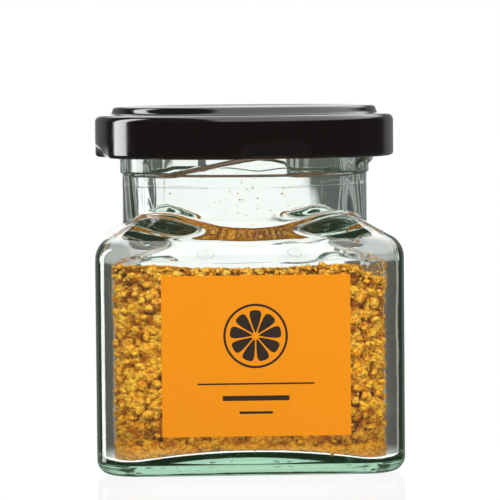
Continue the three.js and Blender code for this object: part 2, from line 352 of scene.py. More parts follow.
def skin_rings(rings):
    """A closed skin over rings that run from pole to pole, grown ring by ring."""
    bm = bmesh.new()
    start = bmesh.ops.create_circle(bm, cap_ends=False, segments=len(rings[0]), radius=1)
    row = sorted(start["verts"], key=lambda v: math.atan2(v.co.y, v.co.x) % (2 * math.pi))
    for vert, point in zip(row, rings[0]):
        vert.co = point * MM
    first = row
    edges = bm.edges[:]
    for points in rings[1:]:
        place = {vert: i for i, vert in enumerate(row)}
        grown = bmesh.ops.extrude_edge_only(bm, edges=edges)["geom"]
        edges = [e for e in grown if isinstance(e, bmesh.types.BMEdge)]
        new_row = [None] * len(row)
        for vert in (g for g in grown if isinstance(g, bmesh.types.BMVert)):
            for edge in vert.link_edges:
                column = place.get(edge.other_vert(vert))
                if column is not None:
                    new_row[column] = vert
        edges = [e for e in edges if e.verts[0] not in place and e.verts[1] not in place]
        for vert, point in zip(new_row, points):
            vert.co = point * MM
        row = new_row
    for end in (first, row):
        loop = {e for v in end for e in v.link_edges if e.is_boundary}
        cap = bmesh.ops.holes_fill(bm, edges=list(loop), sides=0)["faces"]
        bmesh.ops.poke(bm, faces=cap)
    bmesh.ops.recalc_face_normals(bm, faces=bm.faces)
    return bm


def finish_piece(name, bm, material, smooth=True):
    """Turns a skin into a shown piece that rides on the jar."""
    mesh = bpy.data.meshes.new(name)
    bm.to_mesh(mesh)
    bm.free()
    return finish_mesh(name, mesh, material, smooth)


def finish_mesh(name, mesh, material, smooth=True):
    """Turns a mesh into a shown piece that rides on the jar."""
    piece = bpy.data.objects.new(name, mesh)
    bpy.context.scene.collection.objects.link(piece)
    mesh.materials.append(material)
    mesh.polygons.foreach_set("use_smooth", [smooth] * len(mesh.polygons))
    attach(piece, "root")
    return piece


def point_values(mesh, name, values):
    """Stores one number for each point of a mesh, for its material to read."""
    mesh.attributes.new(name, "FLOAT", "POINT").data.foreach_set("value", values)


# Nodes


def new_material(name):
    """A material without nodes."""
    material = bpy.data.materials.new(name)
    material.use_nodes = True
    material.node_tree.nodes.clear()
    return material


def add_node(tree, kind, sockets=None, **settings):
    """A node with its settings, and its sockets filled from values or from other sockets."""
    node = tree.nodes.new(kind)
    for name, value in settings.items():
        setattr(node, name, value)
    for name, value in (sockets or {}).items():
        if isinstance(value, bpy.types.NodeSocket):
            tree.links.new(value, node.inputs[name])
        else:
            node.inputs[name].default_value = value
    return node


def maths(tree, operation, *values):
    """The outcome of one sum on values or sockets."""
    sockets = dict(enumerate(values))
    return add_node(tree, "ShaderNodeMath", sockets, operation=operation).outputs[0]


def blend_colours(tree, share, first, second):
    """Colour that goes from first to second as share goes from 0 to 1."""
    mix = add_node(tree, "ShaderNodeMix", data_type="RGBA")
    for socket, value in ((mix.inputs[0], share), (mix.inputs[6], first), (mix.inputs[7], second)):
        if isinstance(value, bpy.types.NodeSocket):
            tree.links.new(value, socket)
        else:
            socket.default_value = value
    return mix.outputs[2]


def ramp_share(tree, value, start, end):
    """0 before the start, 1 after the end, and smooth between them."""
    sockets = {"Value": value, "From Min": start, "From Max": end}
    return add_node(
        tree, "ShaderNodeMapRange", sockets, interpolation_type="SMOOTHSTEP"
    ).outputs[0]


def mix_surfaces(tree, share, first, second):
    """Surface that goes from first to second as share goes from 0 to 1."""
    return add_node(tree, "ShaderNodeMixShader", {0: share, 1: first, 2: second}).outputs[0]


def object_noise(tree, scale, detail=2.0, roughness=0.5, stretch=None):
    """Noise over the piece's own coordinates; scale is in waves a metre."""
    place = add_node(tree, "ShaderNodeTexCoord").outputs["Object"]
    if stretch:
        place = add_node(tree, "ShaderNodeMapping", {"Vector": place, "Scale": stretch}).outputs[0]
    return add_node(
        tree,
        "ShaderNodeTexNoise",
        {"Vector": place, "Scale": scale, "Detail": detail, "Roughness": roughness},
    ).outputs[0]


def bump(tree, height, strength, depth, base=None):
    """Normals raised by height, over the base normals if there are any."""
    sockets = {"Strength": strength, "Distance": depth, "Height": height}
    if base:
        sockets["Normal"] = base
    return add_node(tree, "ShaderNodeBump", sockets).outputs[0]


def coat(tree, colour, skin):
    """Gives the material its one surface, of a colour and the given skin."""
    surface = add_node(tree, "ShaderNodeBsdfPrincipled", {"Base Color": colour, **skin})
    add_node(tree, "ShaderNodeOutputMaterial", {"Surface": surface.outputs[0]})


# Materials


def clear_glass():
    """Faintly green glass with slow waves and a faint painted glow, which lets lamplight through to
    the peel.
    """
    material = new_material("clear_glass")
    tree = material.node_tree
    waves = object_noise(tree, GLASS_WAVES, stretch=(1.0, 1.0, 0.35))
    glass = add_node(
        tree,
        "ShaderNodeBsdfPrincipled",
        {
            "Base Color": WHITE,
            "Roughness": 0.0,
            "IOR": GLASS_INDEX,
            "Transmission Weight": 1.0,
            # A faint painted green glow, though the glass is no lamp
            "Emission Color": GLASS_PAINTED_GLOW,
            "Emission Strength": GLASS_PAINTED_GLOW_STRENGTH,
            "Normal": bump(tree, waves, 0.25, GLASS_WAVE_DEPTH),
        },
    )
    lamp_way = add_node(tree, "ShaderNodeBsdfTransparent", {"Color": GLASS_SHADE})
    shadow = add_node(tree, "ShaderNodeLightPath").outputs["Is Shadow Ray"]
    surface = mix_surfaces(tree, shadow, glass.outputs[0], lamp_way.outputs[0])
    tint = add_node(
        tree, "ShaderNodeVolumeAbsorption", {"Color": GLASS_TINT, "Density": GLASS_TINT_DENSITY}
    )
    add_node(tree, "ShaderNodeOutputMaterial", {"Surface": surface, "Volume": tint.outputs[0]})
    return material


def black_enamel():
    """Glossy black enamel with a fine stipple, brown lacquer on the inside."""
    material = new_material("black_enamel")
    tree = material.node_tree
    stipple = object_noise(tree, ENAMEL_STIPPLE)
    haze = ramp_share(tree, object_noise(tree, ENAMEL_HAZE, 4.0), 0.35, 0.75)
    roughness = maths(tree, "MULTIPLY_ADD", haze, 0.05, 0.06)
    inner = add_node(tree, "ShaderNodeAttribute", attribute_name="inner").outputs["Fac"]
    colour = blend_colours(tree, inner, ENAMEL_BLACK, LACQUER_BROWN)
    normal = bump(tree, stipple, 0.12, ENAMEL_STIPPLE_DEPTH)
    coat(tree, colour, {"Roughness": roughness, "IOR": ENAMEL_INDEX, "Normal": normal})
    return material


def orange_paper():
    """Flat orange paper with fine fibres."""
    material = new_material("orange_paper")
    tree = material.node_tree
    fibres = object_noise(tree, PAPER_FIBRES, 3.0)
    patches = object_noise(tree, PAPER_PATCHES, 3.0)
    colour = blend_colours(tree, patches, PAPER_ORANGE, PAPER_ORANGE_LIGHT)
    normal = bump(tree, fibres, 0.15, PAPER_FIBRE_DEPTH)
    coat(tree, colour, {"Roughness": 0.62, "Specular IOR Level": 0.06, "Normal": normal})
    return material


def dark_ink():
    """Dark brown ink with a fine speckle."""
    material = new_material("dark_ink")
    tree = material.node_tree
    speckle = ramp_share(tree, object_noise(tree, INK_SPECKLE), 0.3, 0.8)
    colour = blend_colours(tree, speckle, INK_DARK, INK_LIGHT)
    coat(tree, colour, {"Roughness": 0.6, "Specular IOR Level": 0.2})
    return material


def dried_peel():
    """Yellow and orange grains of tiny knobs, browner low down; painted highlights on knobs, painted
    shade between and deep in the heap.
    """
    material = new_material("dried_peel")
    tree = material.node_tree
    tone, painted_depth_shade, swell = (
        add_node(tree, "ShaderNodeAttribute", attribute_name=name).outputs["Fac"]
        for name in ("tone", "painted_depth_shade", "swell")
    )
    place = add_node(tree, "ShaderNodeTexCoord").outputs["Object"]
    up = add_node(tree, "ShaderNodeSeparateXYZ", {0: place}).outputs[2]
    stir = add_node(tree, "ShaderNodeTexNoise", {"Vector": place, "Scale": PEEL_STIR})
    stir = stir.outputs["Color"]
    stir = add_node(tree, "ShaderNodeVectorMath", {0: stir, "Scale": 0.0005}, operation="SCALE")
    stirred = add_node(
        tree, "ShaderNodeVectorMath", {0: place, 1: stir.outputs[0]}, operation="ADD"
    ).outputs[0]
    knobs = add_node(tree, "ShaderNodeTexVoronoi", {"Vector": stirred, "Scale": PEEL_KNOBS})
    knobs = maths(tree, "SUBTRACT", 1.0, knobs.outputs["Distance"])
    mottle = object_noise(tree, PEEL_MOTTLE, 3.0, 0.6)
    fine = object_noise(tree, PEEL_ROUGHNESS, 3.0, 0.6)

    warm = ramp_share(tree, maths(tree, "MULTIPLY_ADD", tone, 0.6, mottle), 0.35, 1.05)
    orange = ramp_share(tree, object_noise(tree, PEEL_PATCHES), 0.6, 0.8)
    orange = maths(tree, "MULTIPLY", orange, 0.5)
    # Painted highlight on the knob tops, stronger higher up in the heap
    pale = ramp_share(tree, maths(tree, "MULTIPLY_ADD", fine, 0.5, knobs), 0.72, 1.15)
    highlight_by_height = maths(tree, "MULTIPLY_ADD", ramp_share(tree, up, *HIGHLIGHT_HEIGHTS), 0.45, 0.35)
    pale = maths(tree, "MULTIPLY", pale, highlight_by_height)
    # Painted shade in the creases between the knobs
    seam = maths(tree, "MULTIPLY", ramp_share(tree, knobs, 0.5, 0.22), 0.6)
    low_down = maths(tree, "MULTIPLY", ramp_share(tree, up, *LOW_HEIGHTS), 0.55)
    colour = blend_colours(tree, warm, PEEL_AMBER, PEEL_YELLOW)
    for share, tint in (
        (orange, PEEL_ORANGE),
        (pale, PEEL_PAINTED_HIGHLIGHT),
        (seam, PEEL_CREASE_SHADE),
        (low_down, PEEL_LOW),
        # Painted shade, darker the deeper in the heap
        (painted_depth_shade, PEEL_PAINTED_SHADE),
    ):
        colour = blend_colours(tree, share, colour, tint)

    bumpy = bump(tree, swell, 1.0, MM)
    bumpy = bump(tree, knobs, 1.0, PEEL_KNOB_DEPTH, bumpy)
    bumpy = bump(tree, fine, 0.8, PEEL_ROUGHNESS_DEPTH, bumpy)
    skin = {"Roughness": 0.75, "Specular IOR Level": 0.1, "Normal": bumpy}
    coat(tree, colour, skin)
    return material


# Glass jar


def body_reach(angles, height):
    """Outside of the square body: round heel, straight wall, fillet, then a pyramid shoulder."""
    slope = math.atan(SHOULDER_RISE)
    turn = math.pi / 2 - slope
    fillet_start = SHOULDER_EDGE - SHOULDER_FILLET * math.tan(turn / 2)
    fillet_end = fillet_start + SHOULDER_FILLET * math.sin(turn)
    fillet_inset = SHOULDER_FILLET * (1 - math.cos(turn))
    corner = BODY_CORNER
    if height < HEEL:
        inset = HEEL - math.sqrt(max(HEEL**2 - (HEEL - height) ** 2, 0))
        corner = BODY_CORNER - inset
    elif height < fillet_start:
        inset = 0
    elif height < fillet_end:
        lift = height - fillet_start
        inset = SHOULDER_FILLET - math.sqrt(SHOULDER_FILLET**2 - lift**2)
    else:
        inset = fillet_inset + (height - fillet_end) / SHOULDER_RISE
    half = BODY_HALF - inset
    return square_reach(angles, half, min(corner, half - BODY_CORNER_LEAST))


def thread_reach(angles, height):
    """Outside of the four threads: level on the bead at first, then climbing to the right."""
    turned = np.degrees(angles + math.pi / 2) - THREAD_START
    reach = np.full(angles.shape, THREAD_ROOT)
    for lap in range(-8, 5):
        along = turned - 90 * lap
        inside = smooth_step(along, *THREAD_FADE_IN)
        inside = inside * smooth_step(THREAD_REACH - along, *THREAD_FADE_OUT)
        low = BEAD_HEIGHT + np.maximum(0, along - THREAD_LEVEL) * THREAD_CLIMB
        high = BEAD_HEIGHT + THREAD_HEIGHT + along * THREAD_CLIMB / 2
        under = THREAD_ROOT + (height - low + THREAD_FOOT) * THREAD_UNDER_SLOPE
        over = THREAD_ROOT + (high - height) * THREAD_OVER_SLOPE
        band = np.minimum(np.minimum(under, over), BEAD_RADIUS)
        reach = np.maximum(reach, THREAD_ROOT + (band - THREAD_ROOT) * inside)
    return reach


def neck_reach(angles, height):
    """Outside of the neck: plain with a faint seam, then the wider finish and its threads."""
    upper = smooth_step(height, BEAD_HEIGHT, BEAD_HEIGHT + NECK_TO_FINISH)
    plain = NECK_RADIUS + (FINISH_RADIUS - NECK_RADIUS) * upper
    seam = SEAM_DEPTH * math.exp(-(((height - SEAM_HEIGHT) / SEAM_WIDTH) ** 2))
    if height > MOUTH - MOUTH_ROUND:
        drop = height - (MOUTH - MOUTH_ROUND)
        plain -= MOUTH_ROUND - math.sqrt(max(MOUTH_ROUND**2 - drop**2, 0))
        return np.full(angles.shape, plain)
    neck = np.full(angles.shape, plain + seam)
    return soft_max(neck, thread_reach(angles, height), THREAD_FILLET)


def inside_reach(angles):
    """Inside of the straight wall."""
    return square_reach(angles, BODY_HALF - WALL, INNER_CORNER)


def shoulder_curve(shape, share):
    """How far in and how high the inside of the shoulder is, share running from wall to neck."""
    start, height, first, last = shape
    inward = 3 * share**2 - 2 * share**3
    rise = (
        3 * (1 - share) ** 2 * share * first
        + 3 * (1 - share) * share**2 * (height - last)
        + share**3 * height
    )
    return inward, start + rise


def room_inside(angles, heights):
    """Reach of the inside of the glass above its floor."""
    shares = np.linspace(0, 1, 60)
    front, back, corner = (
        np.interp(heights, *shoulder_curve(shape, shares)[::-1])
        for shape in (FRONT_SHOULDER, BACK_SHOULDER, CORNER_SHOULDER)
    )
    inward = front + (back - front) * smooth_step(np.sin(angles), *FRONT_TO_BACK)
    cornered = smooth_step(np.abs(np.sin(2 * angles)), *SIDE_TO_CORNER) * (np.sin(angles) < 0)
    inward += (corner - inward) * cornered
    reach = inside_reach(angles) * (1 - inward) + NECK_INNER_RADIUS * inward
    streaks = NECK_STREAKS * np.sin(31 * angles + 2 * np.sin(5 * angles) + heights * 0.3)
    streaks *= inward * np.cos(angles) ** 6
    return reach + ripples(angles, heights) + streaks


def ripples(angles, height):
    """Slow ripples of blown glass, for the inside of the wall."""
    return RIPPLE * (
        0.5 * np.sin(3 * angles + height * 0.21 + 1.3)
        + 0.3 * np.sin(7 * angles - height * 0.37)
        + 0.2 * np.sin(13 * angles + height * 0.6 + 2.0)
    )


def carried_on(heights, runs):
    """The heights, carried on by even runs."""
    for end, count in runs:
        heights = heights + list(np.linspace(heights[-1], end, count)[1:])
    return heights


def glass_rings(angles):
    """Rings from the middle of the underside, up the outside, over the mouth and down inside."""
    rings = []
    for share in np.linspace(0.04, 1, 12):
        radius = UNDERSIDE_DISH_RADIUS * share
        rings.append(ring(angles, radius, UNDERSIDE_DISH_DEPTH * math.cos(share * math.pi / 2)))
    foot = body_reach(angles, 0)
    for share in (0.4, 0.8):
        reach = UNDERSIDE_DISH_RADIUS + (foot - UNDERSIDE_DISH_RADIUS) * share
        rings.append(ring(angles, reach, 0))
    heights = [HEEL * (1 - math.cos(t)) for t in np.linspace(0, math.pi / 2, 12)]
    for height in carried_on(heights, OUTSIDE_RUNS):
        reach = soft_max(body_reach(angles, height), neck_reach(angles, height), NECK_FILLET)
        rings.append(ring(angles, reach, height))
    for t in np.linspace(0, math.pi / 2, 6)[1:]:
        radius = FINISH_RADIUS - MOUTH_ROUND * (1 - math.cos(t))
        rings.append(ring(angles, radius, MOUTH - MOUTH_ROUND * (1 - math.sin(t))))
    rings.append(ring(angles, NECK_INNER_RADIUS + MOUTH_INNER_ROUND, MOUTH))
    for height in carried_on([MOUTH - MOUTH_INNER_ROUND], INSIDE_RUNS):
        rings.append(ring(angles, room_inside(angles, height), height))
    for t in np.linspace(0, math.pi / 2, 9):
        inset = INNER_HEEL * (1 - math.cos(t))
        reach = square_reach(angles, BODY_HALF - WALL - inset, INNER_CORNER - inset)
        floor = FLOOR_CENTRE - FLOOR_FALL * reach**2
        rings.append(ring(angles, reach, floor + INNER_HEEL * (1 - math.sin(t))))
    rim = square_reach(angles, BODY_HALF - WALL - INNER_HEEL, INNER_CORNER - INNER_HEEL)
    for share in np.linspace(0.93, 0.04, 14):
        rings.append(ring(angles, rim * share, FLOOR_CENTRE - FLOOR_FALL * (rim * share) ** 2))
    return rings


def glass_jar(material):
    """The jar itself, one skin round the outside and the inside of the glass."""
    rings = glass_rings(spread_angles(GLASS_COLUMNS, GLASS_CROWDING))
    jar = finish_piece("jar", skin_rings(rings), material)
    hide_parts("glass_jar")


# Lid


def lug_share(angles):
    """How far the rim is pressed in, 0 between the four lugs to 1 in the middle of each."""
    turned = np.degrees(angles) + 90 - LUG_AZIMUTH
    off = np.abs((turned + 45) % 90 - 45) / LUG_HALF_ARC
    return np.where(off < 1, 0.5 + 0.5 * np.cos(math.pi * np.minimum(off, 1) ** 2), 0)


def lid_section():
    """Radii and heights from the middle of the top round to the liner, and where the inside starts."""
    inner = LID_RADIUS - LID_WALL
    section = [
        (0.6, LID_TOP - 0.25),
        (8, LID_TOP - 0.25),
        (15, LID_TOP - 0.25),
        (20, LID_TOP - 0.25),
        (20.9, LID_TOP - 0.24),
        (21.4, LID_TOP - 0.18),
        (22.0, LID_TOP - 0.05),
        (22.5, LID_TOP),
        (23.3, LID_TOP),
        (23.9, LID_TOP - 0.03),
        (24.3, LID_TOP - 0.12),
        (24.55, LID_TOP - 0.3),
        (24.7, LID_TOP - 0.6),
        (24.85, LID_TOP - 1.1),
        (25.05, LID_EDGE + 0.18),
        (25.4, LID_EDGE + 0.05),
        (25.9, LID_EDGE),
    ]
    middle = LID_RADIUS - LID_EDGE_ROUND
    for t in np.linspace(0, math.pi / 2, 10):
        radius = middle + LID_EDGE_ROUND * math.sin(t)
        section.append((radius, LID_EDGE - LID_EDGE_ROUND * (1 - math.cos(t))))
    skirt_low = LID_BOTTOM + LID_CURL + 0.3
    for height in np.linspace(LID_EDGE - LID_EDGE_ROUND - 0.8, skirt_low, 10):
        section.append((LID_RADIUS, height))
    for t in np.linspace(0, math.pi, 11):
        radius = LID_RADIUS - LID_CURL + LID_CURL * math.cos(t)
        section.append((radius, LID_BOTTOM + LID_CURL - LID_CURL * math.sin(t)))
    outside = len(section)
    section += [
        (LID_RADIUS - 2 * LID_CURL + 0.05, LID_BOTTOM + 1.1),
        (LID_RADIUS - 1.1, LID_BOTTOM + 1.5),
        (inner - 0.1, LID_BOTTOM + 1.9),
        (inner, LID_BOTTOM + 2.6),
        (inner, LID_INSIDE_MIDDLE),
        (inner, LID_EDGE - LID_EDGE_ROUND),
        (middle, LID_EDGE - 0.6),
        (24.0, MOUTH + LINER_GAP),
        (19.5, MOUTH + LINER_GAP),
        (18.5, LID_TOP - LID_SHEET_DEPTH),
        (8, LID_TOP - LID_SHEET_DEPTH),
        (0.6, LID_TOP - LID_SHEET_DEPTH),
    ]
    return section, outside


def twist_lid(material):
    """The lid: its section turned round the axis, with the rim pressed in at the lugs."""
    angles = spread_angles(LID_COLUMNS, 0.0)
    rings = []
    section, outside = lid_section()
    for radius, height in section:
        sunk = np.clip((LUG_TOP - height) / (LUG_TOP - LID_BOTTOM), 0, 1)
        pressed = LUG_DEPTH * sunk * lug_share(angles) if radius > LID_PANEL else 0
        rings.append(ring(angles, radius - pressed, height))
    piece = finish_piece("twist_lid", skin_rings(rings), material)
    inner = np.arange(len(piece.data.vertices)) >= outside * len(angles)
    # The point before the last is the middle of the top
    inner[-2] = False
    point_values(piece.data, "inner", inner.astype(float))
    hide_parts("lid")


# Label


def paper_label(paper, ink):
    """The paper rectangle, and on it a round slice of orange over three bars."""
    bm = bmesh.new()
    bmesh.ops.create_cube(bm, size=1)
    size = (LABEL_WIDTH * MM, LABEL_THICKNESS * MM, LABEL_HEIGHT * MM)
    bmesh.ops.scale(bm, verts=bm.verts, vec=size)
    middle = (LABEL_X * MM, -LABEL_MIDDLE_DEPTH * MM, LABEL_Z * MM)
    bmesh.ops.translate(bm, verts=bm.verts, vec=middle)
    bmesh.ops.bevel(
        bm,
        geom=[e for e in bm.edges if e.calc_length() > MM],
        offset=LABEL_EDGE_ROUND * MM,
        segments=2,
        profile=0.5,
        affect="EDGES",
        material=-1,
    )
    label = finish_piece("paper_label", bm, paper, smooth=False)
    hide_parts("front_label")
    label.visible_shadow = False

    prints = bmesh.new()

    def lay_on_front(verts, z):
        bmesh.ops.rotate(prints, verts=verts, matrix=Matrix.Rotation(math.pi / 2, 3, "X"))
        place = (PRINT_X * MM, -PRINT_DEPTH * MM, z * MM)
        bmesh.ops.translate(prints, verts=verts, vec=place)

    def bar(z, width, height):
        made = bmesh.ops.create_grid(prints, x_segments=2, y_segments=1, size=0.5)["verts"]
        bmesh.ops.scale(prints, verts=made, vec=(width * MM, height * MM, 1))
        lay_on_front(made, z)

    def rind(radius, width):
        """The ring round the slice."""
        outer = bmesh.ops.create_circle(prints, segments=72, radius=(radius + width / 2) * MM)
        edges = list({e for v in outer["verts"] for e in v.link_edges})
        grown = bmesh.ops.extrude_edge_only(prints, edges=edges)["geom"]
        inner = [g for g in grown if isinstance(g, bmesh.types.BMVert)]
        share = (radius - width / 2) / (radius + width / 2)
        bmesh.ops.scale(prints, verts=inner, vec=(share, share, 1))
        lay_on_front(outer["verts"] + inner, SLICE_Z)

    def segment(turn):
        """One segment of the slice, as a rounded wedge."""
        made = bmesh.ops.create_circle(prints, cap_ends=True, segments=24, radius=1)["verts"]
        for vert in made:
            along = math.copysign(abs(vert.co.x) ** 0.7, vert.co.x)
            side = math.copysign(abs(vert.co.y) ** 0.6, vert.co.y)
            reach = SEGMENT_MIDDLE + SEGMENT_HALF_LENGTH * along
            vert.co.x = reach * MM
            vert.co.y = side * reach * math.tan(math.radians(SEGMENT_HALF_ANGLE)) * MM
        bmesh.ops.rotate(prints, verts=made, matrix=Matrix.Rotation(turn, 3, "Z"))
        lay_on_front(made, SLICE_Z)

    rind(SLICE_RADIUS, RIND_WIDTH)
    for i in range(SLICE_SEGMENTS):
        segment(math.radians(360 / SLICE_SEGMENTS * i + FIRST_SEGMENT))
    for drop, width, height in BARS:
        bar(LABEL_Z - drop, width, height)
    raised = bmesh.ops.extrude_face_region(prints, geom=prints.faces[:])["geom"]
    front = [g for g in raised if isinstance(g, bmesh.types.BMVert)]
    bmesh.ops.translate(prints, verts=front, vec=(0, -PRINT_THICKNESS * MM, 0))
    bmesh.ops.recalc_face_normals(prints, faces=prints.faces)
    finish_piece("label_print", prints, ink, smooth=False)


# Dried peel


def heap_top(x, y):
    """Height of the heap's top, which tilts and has one mound and one slump."""
    across = (x - MOUND_X) / MOUND_WIDTH
    along = (y - MOUND_Y) / MOUND_LENGTH
    mound = MOUND_HEIGHT * np.exp(-(across**2) - along**2)
    slump = SLUMP_DEPTH * smooth_step(x, SLUMP_START, SLUMP_END)
    return PEEL_TOP - HEAP_TILT[0] * x - HEAP_TILT[1] * y + mound - slump


def press_to_glass(points):
    """Pushes points back to the glass, and returns how far each was over it."""
    reach = np.hypot(points[..., 0], points[..., 1])
    angles = np.arctan2(points[..., 1], points[..., 0])
    most = room_inside(angles, points[..., 2]) - PEEL_GAP
    over = np.maximum(reach - most, 0)
    points[..., :2] *= (1 - over / np.maximum(reach, 1e-6))[..., None]
    return over


def painted_shade_by_depth(points):
    """How deep in the heap points lie, 0 at its skin to 1 where no light reaches, for painted shade.
    """
    x, y, z = points[..., 0], points[..., 1], points[..., 2]
    reach = np.hypot(x, y)
    depth = room_inside(np.arctan2(y, x), z) - reach
    depth = np.minimum(depth, heap_top(x, y) + HEAP_ROUGHNESS - z)
    depth = np.minimum(depth, z - FLOOR_CENTRE + FLOOR_FALL * reach**2)
    return smooth_step(depth, *SHADE_PAINT_DEPTHS)


def core_grid(angles):
    """Rings of the smooth heap: floor, round heel, wall, and top."""
    wall = inside_reach(angles)
    rings = []
    for share in np.linspace(0.03, 0.94, 34):
        rings.append(ring(angles, wall * share, FLOOR_CENTRE - FLOOR_FALL * (wall * share) ** 2))
    for t in np.linspace(0.15, math.pi / 2, 7):
        inset = INNER_HEEL * (1 - math.sin(t))
        low = FLOOR_CENTRE - FLOOR_FALL * wall**2 + INNER_HEEL * (1 - math.cos(t))
        rings.append(ring(angles, wall - inset, low))
    side = rings[-1]
    x, y = wall * np.cos(angles), wall * np.sin(angles)
    top = heap_top(x, y) - HEAP_EDGE_DROP
    for share in np.linspace(0, 1, 88)[1:]:
        rings.append(ring(angles, wall, side[:, 2] + (top - side[:, 2]) * share))
    for share in list(np.linspace(0.985, 0.3, 48)) + list(np.linspace(0.27, 0.03, 10)):
        x, y = wall * share * np.cos(angles), wall * share * np.sin(angles)
        drop = HEAP_EDGE_DROP * share**20
        rings.append(ring(angles, wall * share, heap_top(x, y) - drop))
    return np.array(rings)


def grid_normals(grid):
    """Outward normals of a grid of rings."""
    round_it = np.roll(grid, -1, 1) - np.roll(grid, 1, 1)
    up = np.gradient(grid, axis=0)
    normal = np.cross(round_it, up)
    return normal / np.maximum(np.linalg.norm(normal, axis=-1, keepdims=True), 1e-9)


def scatter(points, spacing, rng):
    """Indices of points picked at random, none nearer to another than spacing."""
    taken = {}
    picked = []
    for i in rng.sample(range(len(points)), min(len(points), int(90000 / spacing))):
        p = points[i]
        cell = tuple(int(math.floor(c / spacing)) for c in p)
        near = (
            taken.get((cell[0] + dx, cell[1] + dy, cell[2] + dz), ())
            for dx in (-1, 0, 1)
            for dy in (-1, 0, 1)
            for dz in (-1, 0, 1)
        )
        if any(
            (p[0] - q[0]) ** 2 + (p[1] - q[1]) ** 2 + (p[2] - q[2]) ** 2 < spacing**2
            for group in near
            for q in group
        ):
            continue
        taken.setdefault(cell, []).append(p)
        picked.append(i)
    return picked


def dome_relief(points, centres, sizes):
    """Height over the base of domes at the centres, and which dome stands highest."""
    tree = KDTree(len(centres))
    for i, centre in enumerate(centres):
        tree.insert(centre, i)
    tree.balance()
    height = np.zeros(len(points))
    owner = np.zeros(len(points), int)
    for n, point in enumerate(points):
        best = 0.0
        for _, i, distance in tree.find_n(point, 3):
            size = sizes[i]
            lift = size * math.sqrt(max(1 - (distance / size) ** 2, 0))
            if lift > best:
                best = lift
                owner[n] = i
        height[n] = best
    return height, owner


def peel_core(material):
    """The heap itself, with lumps of two sizes raised on it."""
    rng = random.Random(HEAP_SEED)
    angles = spread_angles(HEAP_COLUMNS, HEAP_CROWDING)
    grid = core_grid(angles)
    normals = grid_normals(grid)
    flat = grid.reshape(-1, 3)
    lumps = scatter(flat.tolist(), LUMP_SPACING, rng)
    lump_sizes = [rng.uniform(*LUMP_SIZES) for _ in lumps]
    lump_tones = np.array([rng.random() for _ in lumps])
    big, owner = dome_relief(flat, flat[lumps], lump_sizes)
    knobs = scatter(flat.tolist(), KNOB_SPACING, rng)
    knob_sizes = [rng.uniform(*KNOB_SIZES) for _ in knobs]
    small, _ = dome_relief(flat, flat[knobs], knob_sizes)
    lift = np.minimum(big, LUMP_MOST) * LUMP_SHARE + small * KNOB_SHARE - CORE_DEPTH
    at_floor = 1 - smooth_step(flat[:, 2], *FLAT_FLOOR)
    lift += (np.minimum(lift * 0.25, 0) - 0.05 - lift) * at_floor
    shaped = grid + normals * lift.reshape(grid.shape[:2])[..., None]
    over = press_to_glass(shaped)
    core = finish_piece("peel_heap", skin_rings(list(shaped)), material)
    # The points after the rings are the middles of the two ends
    ends = np.zeros(len(core.data.vertices) - len(flat))
    point_values(core.data, "tone", np.append(lump_tones[owner], ends + 0.5))
    # Painted shade: darker the deeper in the heap a point lies
    point_values(core.data, "painted_depth_shade", np.append(painted_shade_by_depth(shaped).ravel(), ends))
    point_values(core.data, "swell", np.append(over.ravel(), ends))
    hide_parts("peel_granules")
    return grid, normals


def lump_shape(subdivisions, rng, knobs):
    """A small ball with knobs on it, as points and triangles."""
    bm = bmesh.new()
    bmesh.ops.create_icosphere(bm, subdivisions=subdivisions, radius=1)
    balls = []
    for _ in range(knobs):
        way = Vector((rng.gauss(0, 1), rng.gauss(0, 1), rng.gauss(0, 1))).normalized()
        balls.append((way * rng.uniform(*BALL_DISTANCES), rng.uniform(*BALL_SIZES)))
    for vert in bm.verts:
        way = vert.co.normalized()
        reach = GRAIN_LEAST
        for centre, size in balls:
            along = centre.dot(way)
            inside = size**2 - centre.length_squared + along**2
            if inside > 0:
                reach = max(reach, along + math.sqrt(inside))
        vert.co = way * reach
    bm.verts.ensure_lookup_table()
    points = np.array([v.co[:] for v in bm.verts])
    faces = np.array([[v.index for v in f.verts] for f in bm.faces])
    bm.free()
    return points, faces


def random_turn(rng):
    """A random rotation as rows of numbers."""
    axis = Vector((rng.gauss(0, 1), rng.gauss(0, 1), rng.gauss(0, 1))).normalized()
    return np.array(Matrix.Rotation(rng.uniform(0, 2 * math.pi), 3, axis))


def joined_grains(name, shapes, places, sizes, tones, material, rng):
    """Many small lumps as one mesh, each turned and squeezed in its own way."""
    all_points, all_faces, all_tones = [], [], []
    count = 0
    for place, size, tone in zip(places, sizes, tones):
        points, faces = shapes[rng.randrange(len(shapes))]
        squeeze = np.array([rng.uniform(low, high) for low, high in GRAIN_SQUEEZE])
        moved = (points * squeeze * size) @ random_turn(rng).T + place
        all_points.append(moved)
        all_faces.append(faces + count)
        all_tones.append(np.full(len(points), tone))
        count += len(points)
    points = np.concatenate(all_points)
    over = press_to_glass(points)
    faces = np.concatenate(all_faces)
    mesh = bpy.data.meshes.new(name)
    mesh.from_pydata((points * MM).tolist(), [], faces.tolist())
    point_values(mesh, "tone", np.concatenate(all_tones))
    point_values(mesh, "swell", over)
    # Painted shade: darker the deeper in the heap a point lies
    point_values(mesh, "painted_depth_shade", painted_shade_by_depth(points))
    finish_mesh(name, mesh, material)


